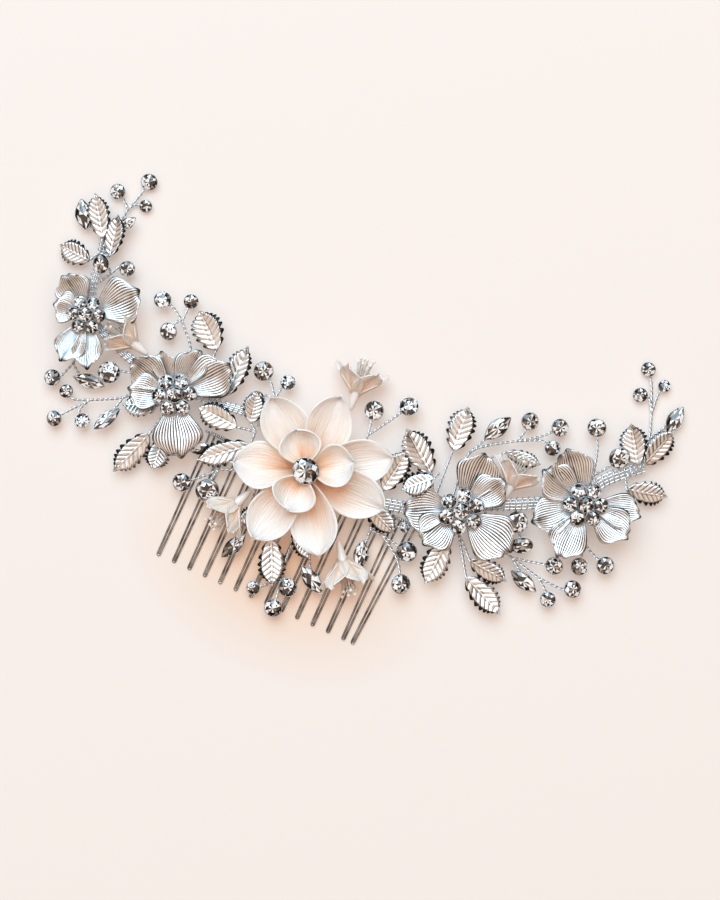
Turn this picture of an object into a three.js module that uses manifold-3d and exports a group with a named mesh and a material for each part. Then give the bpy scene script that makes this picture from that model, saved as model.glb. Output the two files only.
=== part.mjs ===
// A bridal hair comb: a fourteen-tine wire comb carrying a vine of wired flowers, leaves and crystals.
// Millimetres, +Z up. The comb lies on its back: tines along -Y, the vine's two wings along -X and +X.
// Places below are measured from the middle of the comb's spine; the last lines move the origin to the
// middle of the bounding box's underside.
import * as THREE from 'three';
import { mergeVertices } from 'three/addons/utils/BufferGeometryUtils.js';
import Module from 'manifold-3d';

const wasm = await Module();
wasm.setup();

// ---------------------------------------------------------------- driving dimensions
const TINES = 14;
const TINE_PITCH = 5.1;
const TINE_LENGTH = 40;
const TINE_BEND = -13;
const LEG_SPACING_TIP = 0.76;
const LEG_SPACING_SPINE = 1.7;
const LAST_TINE_LEAN = -2;
const COMB_WIRE_RADIUS = 0.32;
const SPINE_HEIGHT = 1.5;
const VINE_RADIUS = 1.05;
const BINDING_RADIUS = 0.2;
const STEM_RADIUS = 0.42;
const LEAF_THICKNESS = 0.6;
const PETAL_THICKNESS = 0.7;
const FLOWER_CENTRE = [-3, 1.5];
const PIECE_GAP = 0.4;

const silver = { color: 0xd9dadd, roughness: 0.16, metalness: 1 };
const crystal = { color: 0xf3f4f6, roughness: 0.04, metalness: 0.1 };
const clay = { color: 0xf8e9da, roughness: 0.4, metalness: 0 };

const comb = new THREE.Group();
const solids = new Map();

// ---------------------------------------------------------------- geometry and solids
function solidOf(geometry, matrix = new THREE.Matrix4()) {
  const bare = new THREE.BufferGeometry();
  bare.setAttribute('position', geometry.getAttribute('position').clone());
  bare.setIndex(geometry.getIndex());
  const shared = mergeVertices(bare.applyMatrix4(matrix), 1e-4);
  const made = new wasm.Manifold(new wasm.Mesh({
    numProp: 3,
    vertProperties: shared.attributes.position.array,
    triVerts: new Uint32Array(shared.index.array),
  }));
  return made;
}

function geometryOf(solid) {
  const mesh = solid.getMesh();
  const geometry = new THREE.BufferGeometry();
  geometry.setAttribute('position', new THREE.BufferAttribute(mesh.vertProperties, 3));
  geometry.setIndex(new THREE.BufferAttribute(mesh.triVerts, 1));
  return geometry;
}

// The solid with every face moved out by about the gap.
function grown(solid, gap) {
  const geometry = geometryOf(solid);
  geometry.computeVertexNormals();
  const place = geometry.attributes.position;
  const normal = geometry.attributes.normal;
  for (let i = 0; i < place.count; i++) {
    place.setXYZ(
      i,
      place.getX(i) + gap * normal.getX(i),
      place.getY(i) + gap * normal.getY(i),
      place.getZ(i) + gap * normal.getZ(i),
    );
  }
  return solidOf(geometry);
}

function boxesMeet(a, b, gap) {
  const one = a.boundingBox();
  const two = b.boundingBox();
  return [0, 1, 2].every((k) => one.min[k] < two.max[k] + gap && two.min[k] < one.max[k] + gap);
}

function largestBody(solid) {
  return solid.decompose().sort((a, b) => b.volume() - a.volume())[0];
}

// Adds a named piece. Where it presses against pieces already there, it is cut back to a small gap.
function add(name, solid, finish, origin = [0, 0, 0]) {
  let piece = solid;
  for (const other of solids.values()) {
    if (boxesMeet(piece, other, PIECE_GAP)) piece = piece.subtract(grown(other, PIECE_GAP));
  }
  piece = largestBody(piece);
  solids.set(name, piece);
  const geometry = geometryOf(piece);
  geometry.translate(-origin[0], -origin[1], -origin[2]);
  const mesh = new THREE.Mesh(geometry, new THREE.MeshStandardMaterial(finish));
  mesh.name = name;
  mesh.position.fromArray(origin);
  comb.add(mesh);
}

function union(parts) {
  return parts.reduce((all, part) => all.add(part));
}

// Where a piece sits: its base point, the way it points in plan, how far its tip is raised, its roll.
function seat(base, heading, pitch = 0, roll = 0) {
  const turn = new THREE.Euler(
    THREE.MathUtils.degToRad(roll),
    -THREE.MathUtils.degToRad(pitch),
    THREE.MathUtils.degToRad(heading),
    'ZYX',
  );
  const quaternion = new THREE.Quaternion().setFromEuler(turn);
  return new THREE.Matrix4().compose(new THREE.Vector3(...base), quaternion, new THREE.Vector3(1, 1, 1));
}

// A wire's section, with one of its sides facing down.
function ring(radius, sides) {
  const corners = [];
  for (let i = 0; i < sides; i++) {
    const angle = (2 * Math.PI * (i + 0.5)) / sides - Math.PI / 2;
    corners.push(new THREE.Vector2(radius * Math.cos(angle), radius * Math.sin(angle)));
  }
  return new THREE.Shape(corners);
}

// A wire through smooth points.
function wire(points, radius = STEM_RADIUS, sides = 4, steps = points.length) {
  const path = new THREE.CatmullRomCurve3(points.map((p) => new THREE.Vector3(...p)));
  return solidOf(new THREE.ExtrudeGeometry(ring(radius, sides), { steps, extrudePath: path }));
}

// A wire whose bends are given corner by corner.
class BentWire extends THREE.Curve {
  constructor(corners) {
    super();
    this.corners = corners;
  }

  getPointAt(u, target = new THREE.Vector3()) {
    const last = this.corners.length - 1;
    return target.copy(this.corners[Math.round(u * last)]);
  }

  getTangentAt(u, target = new THREE.Vector3()) {
    const last = this.corners.length - 1;
    const i = Math.round(u * last);
    const before = this.corners[Math.max(i - 1, 0)];
    const here = this.corners[i];
    const after = this.corners[Math.min(i + 1, last)];
    const arriving = here.clone().sub(before).normalize();
    const leaving = after.clone().sub(here).normalize();
    return target.copy(arriving.add(leaving).normalize());
  }

  // Keeps the section upright all the way, so that a wire bent in a plane has a flat underside.
  computeFrenetFrames(segments) {
    const up = new THREE.Vector3(0, 0, 1);
    const frames = { tangents: [], normals: [], binormals: [] };
    for (let i = 0; i <= segments; i++) {
      const along = this.getTangentAt(i / segments);
      const across = up.clone().cross(along).normalize();
      frames.tangents.push(along);
      frames.normals.push(across);
      frames.binormals.push(along.clone().cross(across));
    }
    return frames;
  }
}

function bentWire(corners, radius, sides) {
  const steps = corners.length - 1;
  return solidOf(new THREE.ExtrudeGeometry(ring(radius, sides), {
    steps,
    extrudePath: new BentWire(corners),
  }));
}

// A blade such as a leaf or a petal: a thin slab, length along +X, warped by a half-width and a height.
function blade(length, thickness, across, along, halfWidth, height) {
  const slab = new THREE.BoxGeometry(1, 1, 1, along, across, 1);
  const place = slab.attributes.position;
  for (let i = 0; i < place.count; i++) {
    const u = place.getX(i) + 0.5;
    const v = 2 * place.getY(i);
    const w = halfWidth(u);
    place.setXYZ(i, length * u, w * v, height(u, v) + thickness * place.getZ(i));
  }
  return slab;
}

// ---------------------------------------------------------------- the wire comb
// One wire, bent into hairpin tines; the tines lie flat and rise a little to the spine.
function combWire() {
  const corners = [];
  const tip = LEG_SPACING_TIP / 2;
  const top = LEG_SPACING_SPINE / 2;
  const low = COMB_WIRE_RADIUS;
  const high = low + SPINE_HEIGHT;
  const first = (-(TINES - 1) * TINE_PITCH) / 2;
  const bend = 0.45;
  const free = 1 + TINE_BEND / TINE_LENGTH;
  corners.push(new THREE.Vector3(first - top - 1.6, 0, high));
  for (let i = 0; i < TINES; i++) {
    const x = first + i * TINE_PITCH;
    const end = i === TINES - 1 ? x + LAST_TINE_LEAN : x;
    const kneeX = end + (x - end) * free;
    const knee = tip + (top - tip) * free;
    corners.push(new THREE.Vector3(x - top - bend, 0, high));
    corners.push(new THREE.Vector3(x - top, -bend, high));
    corners.push(new THREE.Vector3(kneeX - knee, TINE_BEND, low));
    for (let k = 0; k <= 3; k++) {
      const turn = (Math.PI * k) / 3;
      const y = tip - TINE_LENGTH - tip * Math.sin(turn);
      corners.push(new THREE.Vector3(end - tip * Math.cos(turn), y, low));
    }
    corners.push(new THREE.Vector3(kneeX + knee, TINE_BEND, low));
    corners.push(new THREE.Vector3(x + top, -bend, high));
    corners.push(new THREE.Vector3(x + top + bend, 0, high));
  }
  corners.push(new THREE.Vector3(-first + top + 1.6, 0, high));
  return bentWire(corners, COMB_WIRE_RADIUS / Math.cos(Math.PI / 6), 6);
}
add('comb_wire', combWire(), silver);

// The binding wire: one turn round the spine for every tine, wider where it also holds the vine.
function spineBinding() {
  const corners = [];
  const perTurn = 6;
  const turns = TINES - 2;
  const start = (-turns * TINE_PITCH) / 2;
  for (let k = 0; k <= turns * perTurn; k++) {
    const x = start + (TINE_PITCH * k) / perTurn;
    const angle = (2 * Math.PI * k) / perTurn;
    const wide = Math.abs(x) < 7 ? 1 : 0;
    const across = 1.25 + 0.75 * wide;
    const up = 1.25 + 1.05 * wide;
    const middle = COMB_WIRE_RADIUS + SPINE_HEIGHT + 1.05 * wide;
    corners.push(new THREE.Vector3(x, -across * Math.cos(angle), middle + up * Math.sin(angle)));
  }
  return bentWire(corners, BINDING_RADIUS, 4);
}
add('spine_binding_wire', spineBinding(), silver);

// ---------------------------------------------------------------- the two wings of the vine
add('left_vine_stem', wire([
  [-1, 0, 3.5], [-7, 0.2, 3.5], [-15, 6, 3.9], [-25, 10, 4], [-40, 8.5, 4.2], [-55, 8.5, 4.2],
  [-69, 11.5, 4], [-79.5, 16.5, 3.6], [-84, 24, 3.2], [-85.5, 33, 2.8], [-87.5, 42, 2.2],
], VINE_RADIUS, 6, 20), silver);
add('right_vine_stem', wire([
  [1, 0, 3.5], [7, 0.2, 3.5], [15, 0.8, 3.9], [25, 3, 4], [36, 6, 4.2], [44.5, 9.5, 4.2], [49.5, 14, 4.2],
  [60, 19.5, 4.1], [70.5, 25, 3.9], [76, 29.5, 3.5], [80, 36.5, 3], [89, 45, 2.2],
], VINE_RADIUS, 6, 22), silver);

// ---------------------------------------------------------------- the clay flower
const [FX, FY] = FLOWER_CENTRE;
const calyxProfile = [[0, 5.7], [1.6, 5.7], [3.4, 6.6], [3.4, 7.2], [0, 7.2]];
const calyx = new THREE.LatheGeometry(calyxProfile.map((p) => new THREE.Vector2(...p)), 10);
calyx.rotateX(Math.PI / 2);
add('flower_calyx', solidOf(calyx, new THREE.Matrix4().makeTranslation(FX, FY, 0)), clay, [FX, FY, 0]);

// A petal starts narrow, is widest past its middle and ends in a soft point; its rim curls up.
function clayPetal(length, width, cup) {
  const swell = (u) => Math.sin(Math.PI * Math.pow(0.06 + 0.9 * u, 1.25)) ** 0.7;
  const halfWidth = (u) => 0.5 * width * Math.max(0.1, swell(u));
  const height = (u, v) => cup * (0.5 * v * v * Math.sin(Math.PI * u) + u * u);
  return blade(length, PETAL_THICKNESS, 4, 6, halfWidth, height);
}

// heading, reach from the flower's centre, width, height of the base
const OUTER_PETALS = [
  [86, 25.3, 14, 8.2], [36, 27, 14.2, 7.9], [-1, 26.6, 14.6, 8.1], [-56, 26.2, 14.6, 7.9],
  [-103, 26.2, 14.2, 8.2], [-162, 22.6, 14.4, 7.9], [139, 25, 14, 7.6],
];
OUTER_PETALS.forEach(([heading, reach, width, level], i) => {
  const petal = clayPetal(reach - 3.5, width, 1.6);
  const out = THREE.MathUtils.degToRad(heading);
  const base = [FX + 3.5 * Math.cos(out), FY + 3.5 * Math.sin(out), level];
  add('outer_petal_' + (i + 1), solidOf(petal, seat(base, heading, 0, 9)), clay, base);
});
const INNER_PETALS = [[127, 13.6, 13], [35, 15.6, 13.2], [-92, 13.6, 14]];
INNER_PETALS.forEach(([heading, reach, width], i) => {
  const petal = clayPetal(reach - 2.5, width, 3);
  const out = THREE.MathUtils.degToRad(heading);
  const base = [FX + 2.5 * Math.cos(out), FY + 2.5 * Math.sin(out), 10];
  add('inner_petal_' + (i + 1), solidOf(petal, seat(base, heading, 8, 0)), clay, base);
});
const cupProfile = [[0, 10.9], [2.2, 10.9], [4.3, 12.4], [4.3, 13.2], [3.9, 13.2], [3.6, 12.6], [0, 12.2]];
const cup = new THREE.LatheGeometry(cupProfile.map((p) => new THREE.Vector2(...p)), 12);
cup.rotateX(Math.PI / 2);
const atFlower = new THREE.Matrix4().makeTranslation(FX, FY, 0);
add('flower_crystal_cup', solidOf(cup, atFlower), silver, [FX, FY, 0]);
const stoneProfile = [[0, 12.9], [3.3, 13.0], [3.5, 13.6], [2.2, 14.6], [0, 14.6]];
const stone = new THREE.LatheGeometry(stoneProfile.map((p) => new THREE.Vector2(...p)), 10);
stone.rotateX(Math.PI / 2);
add('flower_crystal', solidOf(stone, atFlower), crystal, [FX, FY, 0]);

// ---------------------------------------------------------------- stamped silver flowers
function silverPetal(length, width) {
  const swell = (u) => Math.sin(Math.PI * Math.pow(0.08 + 0.84 * u, 1.3)) ** 0.75;
  const halfWidth = (u) => 0.5 * width * Math.max(0.14, swell(u));
  const height = (u, v) => 1.6 * u * u + 0.9 * v * v * Math.sin(Math.PI * u);
  return blade(length, LEAF_THICKNESS, 2, 4, halfWidth, height);
}

// centre, then each petal's heading, reach and width
const SILVER_FLOWERS = {
  left_outer: [[-81.8, 16.8],
    [[141, 13.7, 11], [-176, 10.3, 10], [46, 17.2, 15], [-93, 15.6, 9.5], [-64, 16, 9]]],
  left_inner: [[-48, 6],
    [[165, 16.2, 11.5], [-161, 13.8, 11], [134, 13.5, 8], [86, 15.2, 10], [51, 18.7, 14], [-62, 18.5, 15]]],
  right_inner: [[44.1, 9.9],
    [[88, 18.5, 14], [60, 15.8, 11], [-16, 19, 15.5], [-118, 15, 13], [-158, 17, 14]]],
  right_outer: [[77, 27],
    [[134, 17.4, 13], [164, 16.1, 12], [-138, 16.6, 12], [-92, 17.6, 12], [-12, 16, 12], [15, 16.6, 11]]],
};
const FLOWER_LEVEL = 7;
for (const [side, [[x, y], petals]] of Object.entries(SILVER_FLOWERS)) {
  const hub = new THREE.CylinderGeometry(3, 3, 0.9, 10).rotateX(Math.PI / 2);
  const parts = petals.map(([heading, reach, width], i) =>
    solidOf(silverPetal(reach - 1, width), seat([0, 0, 0.25 * (i % 2)], heading, 4)));
  const here = new THREE.Matrix4().makeTranslation(x, y, FLOWER_LEVEL);
  parts.push(solidOf(hub));
  add('silver_flower_' + side, union(parts).transform(here.elements), silver, [x, y, FLOWER_LEVEL]);
}

// ---------------------------------------------------------------- crystals in cups, and their sprigs
// A round crystal in its cup, standing on its base.
function roundCrystal(diameter, sides = 6) {
  const r = diameter / 2;
  const profile = [[0, 0], [0.5 * r, 0], [r, 0.75 * r], [0.6 * r, 1.25 * r], [0, 1.25 * r]];
  return new THREE.LatheGeometry(profile.map((p) => new THREE.Vector2(...p)), sides).rotateX(Math.PI / 2);
}

// A boat-shaped crystal in its cup, centred over its base, length along +X.
function boatCrystal(length, width) {
  const outline = new THREE.Shape();
  const half = length / 2;
  outline.moveTo(-half, 0);
  outline.quadraticCurveTo(0, -width, half, 0);
  outline.quadraticCurveTo(0, width, -half, 0);
  return new THREE.ExtrudeGeometry(outline, { depth: 0.55 * width, curveSegments: 4, bevelEnabled: false });
}

// stone diameter, radius of the ring of six, how far the ring is turned
const CLUSTERS = {
  left_outer: [3.4, 4.2, 20], left_inner: [3.8, 4.5, 28],
  right_inner: [4.2, 4.8, 45], right_outer: [4, 4.6, 22],
};
for (const [side, [size, radius, turned]] of Object.entries(CLUSTERS)) {
  const [[x, y]] = SILVER_FLOWERS[side];
  const level = FLOWER_LEVEL + 1.6;
  const parts = [solidOf(roundCrystal(size + 0.3), seat([x, y, level + 0.9], 0))];
  const plate = new THREE.CylinderGeometry(radius + 1, radius, 0.8, 8).rotateX(Math.PI / 2);
  parts.push(solidOf(plate, seat([x, y, level + 0.6], 0)));
  for (let i = 0; i < 6; i++) {
    const angle = THREE.MathUtils.degToRad(turned + 60 * i);
    const spot = [x + radius * Math.cos(angle), y + radius * Math.sin(angle), level + 0.8];
    parts.push(solidOf(roundCrystal(size), seat(spot, 0)));
  }
  add('stone_cluster_' + side, union(parts), crystal, [x, y, level]);
}

// ---------------------------------------------------------------- clay bell blossoms
// A slender tube that opens into a bell with flared petals, axis along +X.
function bell(length, mouth) {
  const profile = [[0, 0], [0.9, 0.2], [1.3, 0.3 * length], [2.4, 0.5 * length], [0.6 * mouth, 0.75 * length],
    [mouth, length], [mouth - 0.7, length + 0.2], [0.4 * mouth, 0.8 * length], [0, 0.75 * length]];
  const lathe = new THREE.LatheGeometry(profile.map((p) => new THREE.Vector2(...p)), 10);
  return lathe.rotateZ(-Math.PI / 2).scale(1, 1, 0.8);
}
const BELLS = {
  left_wing: [[-60.5, 13.5, 7.2], 165, 13, 5, 8],
  comb_left: [[-15.5, -10.5, 5], -114, 13.5, 5.4, 4],
  comb_low: [[14.5, -13.5, 5], -53, 14, 5.6, 2],
  top: [[1.5, 23.5, 5], 97, 14, 5.6, 4],
  right_wing: [[54, 17.5, 6.8], 84, 12.5, 5.4, 4],
};
for (const [side, [base, heading, length, mouth, pitch]] of Object.entries(BELLS)) {
  add('bell_blossom_' + side, solidOf(bell(length, mouth), seat(base, heading, pitch)), clay, base);
}

// ---------------------------------------------------------------- stamped leaves on wires
function leafBlade(length, width) {
  const swell = (u) => Math.sin(Math.PI * Math.pow(0.05 + 0.92 * u, 0.9)) ** 0.8;
  const halfWidth = (u) => 0.5 * width * Math.max(0.12, swell(u));
  const height = (u, v) => 0.12 * width * Math.abs(v) * Math.sin(Math.PI * u) + 0.1 * length * u * (u - 0.5);
  return blade(length, LEAF_THICKNESS, 2, 4, halfWidth, height);
}

// A spray: wires from a shared root, each ending in a leaf [base, heading, length, width, pitch].
function leafSpray(name, root, leaves) {
  const parts = [];
  for (const [base, heading, length, width, pitch] of leaves) {
    const out = THREE.MathUtils.degToRad(heading);
    const inside = [base[0] + 1.5 * Math.cos(out), base[1] + 1.5 * Math.sin(out), base[2]];
    const bend = root.map((r, k) => (r + base[k]) / 2);
    parts.push(wire([root, bend, base, inside], STEM_RADIUS, 4, 3));
    parts.push(solidOf(leafBlade(length, width), seat(base, heading, pitch)));
  }
  add(name, union(parts), silver, root);
}
leafSpray('leaf_spray_left_tip', [-86.5, 35.5, 4.3], [
  [[-87.6, 40, 4], 124, 13, 6.2, 0], [[-83.4, 35.8, 4], 102, 12.3, 5.8, 0],
  [[-88.5, 32, 3.6], 176, 10, 6.5, -12],
]);
leafSpray('leaf_left_upper', [-43, 10, 5.4], [[[-42.5, 23.5, 4.4], 138, 12.5, 8.5, 0]]);
leafSpray('leaf_left_inner', [-36, 9, 5.5], [[[-34.5, 12, 5.2], 89, 16, 6.5, -2]]);
leafSpray('leaf_spray_left_lower', [-47.5, 4.8, 4.4], [
  [[-51.5, 1, 4], -158, 10.5, 6.5, -6], [[-50.5, -8, 3.6], -109, 15, 7, -4], [[-46, -8, 3.6], -84, 9, 6.5, 0],
]);
leafSpray('leaf_spray_comb_left', [-21.5, 6, 5.6], [
  [[-27.5, 5, 5.6], 177, 12.5, 7, 0], [[-21.5, 1.5, 4.4], -140, 16, 7, 0], [[-24, 8, 5.6], 103, 9, 6, 4],
]);
leafSpray('leaf_spray_comb_low', [-3, -6, 4.6], [
  [[-4, -21.5, 4], -64, 13.5, 7.5, 0], [[1, -15.5, 4.4], -39, 10, 5.5, 0], [[-9.5, -14.5, 4.4], -132, 8, 5.5, 0],
]);
leafSpray('leaf_spray_comb_right', [15, 1.5, 5.4], [
  [[17.5, 0.5, 5], -24, 12, 6.5, -4], [[20.5, 6, 4.8], 83, 13.5, 7, 0],
]);
leafSpray('leaf_spray_right_upper', [35.5, 9.5, 4.8], [
  [[31.5, 16.5, 4.6], 144, 15, 8, 0], [[34.5, 25.5, 4.4], 95, 13.5, 7.5, 0],
]);
leafSpray('leaf_right_over_petal', [33.5, 17.5, 6.6], [[[32.5, 15.5, 10.4], -136, 10, 6.5, 0]]);
leafSpray('leaf_spray_right_lower', [46, 4, 4.6], [
  [[44, 0, 4.6], -92, 14, 7.5, -3], [[53, -2.5, 4.6], -5, 12, 6, 0], [[54, -7.5, 3.8], -23, 14.5, 7, -4],
]);
leafSpray('leaf_spray_right_tip', [85, 39.5, 4.4], [
  [[86.5, 44.5, 4], 123, 12, 7.5, 0], [[88.5, 45.5, 4], 73, 13, 6.5, -4], [[87, 36.5, 4.2], 14, 12, 6.5, -8],
]);
leafSpray('leaf_behind_right_blossom', [46, 28.5, 3.6], [[[49.5, 31.5, 3.4], 5, 10.5, 4.2, 0]]);

// A sprig: twisted wires, each a path that ends in a fork to its crystals.
// Round crystals are [x, y, underside, diameter].
// Boat crystals are [x, y, underside, heading, length, width].
function sprig(name, branches) {
  const parts = [];
  for (const { path, round = [], boats = [] } of branches) {
    if (path.length > 1) parts.push(wire(path));
    const fork = path[path.length - 1];
    for (const [x, y, z, diameter] of round) {
      const end = [x, y, z + 0.2 * diameter];
      const bend = [0.35 * fork[0] + 0.65 * x, 0.35 * fork[1] + 0.65 * y, 0.5 * (fork[2] + end[2])];
      parts.push(wire([fork, bend, end], STEM_RADIUS, 4, 2));
      parts.push(solidOf(roundCrystal(diameter), seat([x, y, z], 0)));
    }
    for (const [x, y, z, heading, length, width] of boats) {
      const end = [x, y, z + 0.2 * width];
      const bend = [0.4 * fork[0] + 0.6 * x, 0.4 * fork[1] + 0.6 * y, 0.5 * (fork[2] + end[2])];
      parts.push(wire([fork, bend, end], STEM_RADIUS, 4, 2));
      parts.push(solidOf(boatCrystal(length, width), seat([x, y, z], heading)));
    }
  }
  add(name, union(parts), crystal, branches[0].path[0]);
}
sprig('crystal_sprig_left_tip', [
  { path: [[-84.5, 40.5, 2.4], [-85, 46, 1.6], [-84.5, 51, 1.2]],
    round: [[-89.5, 54.5, 0, 4.8], [-82, 61, 0, 5.1], [-80, 54, 0, 3.9]] },
  { path: [[-84.7, 43, 2], [-90, 42, 0.9], [-93, 41.5, 0.9]], boats: [[-95.5, 44, 0, -57, 9.5, 4.5]] },
  { path: [[-84.9, 44, 1.8]], boats: [[-82.2, 46.8, 0.4, 58, 6.4, 3.2]] },
]);
sprig('crystal_sprig_left_edge', [
  { path: [[-83, 27.5, 3.4], [-81, 31, 3.2]],
    round: [[-77, 34.5, 2, 4.8]], boats: [[-81.5, 32, 2.4, -65, 5.5, 4]] },
]);
sprig('crystal_sprig_left_upper', [
  { path: [[-49, 10.5, 4], [-49.5, 20, 4], [-55.5, 27, 3]],
    round: [[-63.5, 30.5, 1.6, 5.4], [-55.5, 33.5, 1.6, 4.5], [-58, 22.5, 1.8, 5.4]] },
]);
sprig('crystal_sprig_left_lower', [
  { path: [[-57, 5.8, 4], [-62, -1, 3.8], [-71, -6, 3]],
    round: [[-78.5, -6.5, 1.5, 4.2], [-78.5, -15.5, 1.2, 4.8], [-70.5, -12.5, 1.4, 4.8]] },
  { path: [[-62, -1, 3.8]], boats: [[-64, -9, 2, 62, 10.5, 4]] },
]);
sprig('crystal_sprig_left_outer', [
  { path: [[-79, 13, 4.4], [-80, 7, 4], [-80, 2, 3.4]],
    round: [[-84, -4.5, 1.5, 5.1]], boats: [[-73.5, -1, 1.6, 7, 10, 4]] },
]);
sprig('large_crystal_left', [{ path: [[-59.5, 6.8, 4.4], [-63, 6.6, 4]], round: [[-69, 4, 2, 6.9]] }]);
sprig('crystal_sprig_comb_left_low', [
  { path: [[-19, 2.5, 3.4], [-22, -6, 3.4], [-27, -9, 3.4]],
    round: [[-35.5, -17, 2.2, 5.7], [-27.5, -16, 2.2, 7.2]], boats: [[-34.5, -5.5, 1.6, 40, 6.5, 3.5]] },
  { path: [[-20.5, -3, 3.4], [-14.5, -10, 2.8]], boats: [[-13.5, -28, 1.6, 68, 10, 4]] },
]);
sprig('crystal_sprig_comb_left_top', [
  { path: [[-14, 8.5, 4.2], [-17, 13, 4.2], [-20.5, 17.5, 3.4]],
    round: [[-27, 23.5, 2, 6], [-19, 23.5, 2, 4.8], [-25.5, 15, 2, 5]] },
]);
sprig('crystal_sprig_comb_top', [
  { path: [[9, 3, 4.4], [9, 12, 4.4], [9.5, 19, 4]], round: [[8, 26.5, 2, 6], [17, 32, 2, 6]] },
]);
sprig('crystal_sprig_comb_low', [
  { path: [[0, -4, 3.4], [1.5, -16, 2.9], [3, -29, 2.8]],
    round: [[-3, -37, 1.2, 4.2], [6.5, -32.5, 1.2, 5.7], [5, -40, 1.2, 5.5]] },
]);
sprig('boat_crystal_comb_low', [
  { path: [[3.5, -5, 3.6], [5, -14, 3.2]], boats: [[12, -27.5, 1.6, -30, 10.5, 4.5]] },
]);
sprig('crystal_sprig_comb_right_low', [
  { path: [[19, -1.5, 3.6], [22, -6, 3.4], [26, -6.5, 3.2]],
    round: [[37, -17.5, 1.6, 6], [34.5, -8, 1.6, 6.4]] },
  { path: [[22, -6, 3.4]], round: [[31, -1.5, 2.2, 3.3]], boats: [[22.5, -14.5, 1.6, -73, 9, 4.5]] },
]);
sprig('crystal_sprig_right_upper', [
  { path: [[40.5, 10.5, 4.4], [39.5, 20, 4.4], [39.5, 27, 4], [44, 31.5, 3.6], [51, 36, 3.4]],
    round: [[52, 43, 1.6, 5.4], [61, 45, 1.6, 5.4], [61.5, 38.5, 1.6, 4.8]] },
  { path: [[39.5, 27, 4]], boats: [[44, 37, 2, 64, 10.5, 5]] },
]);
sprig('crystal_sprig_right_edge', [
  { path: [[76, 32, 4.2], [76, 36, 3.8]], round: [[71, 49.5, 1.6, 5.7]] },
  { path: [[76, 36, 3.8], [79, 40, 3.6]], round: [[81, 44, 2, 6.6]] },
]);
sprig('crystal_sprig_right_tip', [
  { path: [[87, 45.5, 1.4], [87, 53, 1], [84.5, 60.5, 1]],
    round: [[78, 72, 0, 4.5], [79, 64, 0, 4.5], [84.5, 69.5, 0, 3.9]] },
  { path: [[87, 53, 1]], boats: [[91.5, 61.5, 0, 84, 9.5, 4.5]] },
]);
sprig('crystal_sprig_right_lower', [
  { path: [[51, 12.5, 4.2], [55, 6, 4], [64, 3.5, 3.4]], round: [[76.5, 6.5, 1.6, 5.4]],
    boats: [[70, -1.5, 2, -16, 10, 4.5]] },
  { path: [[64, 3.5, 3.4], [74, 1.2, 3]], round: [[79, -3.5, 1.4, 4.8], [84.5, 2.5, 1.6, 5.4]] },
]);
sprig('crystal_sprig_right_outer', [
  { path: [[77, 24.5, 4], [79.5, 18, 3.6]], round: [[83.5, 9.5, 1.6, 5.4], [90.5, 13, 1.6, 5.4]] },
]);
sprig('large_crystal_right', [
  { path: [[59, 17, 4], [60, 15.5, 3.8]], round: [[61, 14, 2.2, 6.8]], boats: [[65, 8, 3, 27, 7, 4]] },
]);

// ---------------------------------------------------------------- the origin
const bounds = new THREE.Box3().setFromObject(comb);
const middle = bounds.getCenter(new THREE.Vector3());
comb.position.set(-middle.x, -middle.y, -bounds.min.z);

const part = new THREE.Group();
part.add(comb);
export default part;
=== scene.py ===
import math
import random
import bmesh
import bpy
from mathutils import Matrix, Vector


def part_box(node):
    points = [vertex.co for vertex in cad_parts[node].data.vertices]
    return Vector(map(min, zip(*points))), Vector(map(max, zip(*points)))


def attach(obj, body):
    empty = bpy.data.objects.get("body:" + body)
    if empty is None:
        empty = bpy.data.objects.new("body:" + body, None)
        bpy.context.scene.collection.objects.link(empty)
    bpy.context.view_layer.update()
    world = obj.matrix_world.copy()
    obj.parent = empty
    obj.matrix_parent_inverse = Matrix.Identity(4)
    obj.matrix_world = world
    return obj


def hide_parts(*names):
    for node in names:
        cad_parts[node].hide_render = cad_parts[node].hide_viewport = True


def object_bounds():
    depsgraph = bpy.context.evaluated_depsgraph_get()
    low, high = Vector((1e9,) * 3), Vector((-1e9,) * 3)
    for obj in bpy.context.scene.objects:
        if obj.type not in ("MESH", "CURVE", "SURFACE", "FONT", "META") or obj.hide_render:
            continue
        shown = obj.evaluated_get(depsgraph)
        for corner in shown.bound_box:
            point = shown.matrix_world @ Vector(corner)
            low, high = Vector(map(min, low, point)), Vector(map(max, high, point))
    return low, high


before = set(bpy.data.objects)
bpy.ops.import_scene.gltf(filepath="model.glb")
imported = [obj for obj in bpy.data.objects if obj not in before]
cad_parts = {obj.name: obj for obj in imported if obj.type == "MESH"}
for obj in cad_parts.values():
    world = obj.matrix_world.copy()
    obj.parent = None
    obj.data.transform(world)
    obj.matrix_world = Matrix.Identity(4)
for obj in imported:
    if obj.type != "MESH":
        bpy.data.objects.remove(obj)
cad_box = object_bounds()

# ---------------------------------------------------------------- table, light and camera
# The comb lies on pale pink paper, with a painted shadow of deeper peach on it under the comb, and is
# looked at from straight above.
# One large soft lamp stands high behind it in a warm room whose walls are dark just above the table. The
# paper gives off part of its own brightness, so that the shadows on it stay pale.
MM = 0.001
SPINE_RADIUS = 0.37
VIEW_CENTRE = (9.1, 14.0)
VIEW_HEIGHT = 270.0
VIEW_TURN = 24.5
LENS = 100.0
SENSOR = 36.0
SHADOW_PAINT_CENTRE = (2, -26)
SHADOW_PAINT_REACH = (52.0, 36.0)
PAPER_GLOW = 0.40

comb_low, comb_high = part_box("comb_wire")
SPINE = Vector(((comb_low.x + comb_high.x) / 2, comb_high.y - SPINE_RADIUS * MM, comb_low.z))
TO_ROW = Matrix.Translation(SPINE) @ Matrix.Scale(MM, 4)


def spot(x, y, z):
    """A place in millimetres from the middle of the comb's spine, as a place in the row."""
    return TO_ROW @ Vector((x, y, z))


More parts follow.
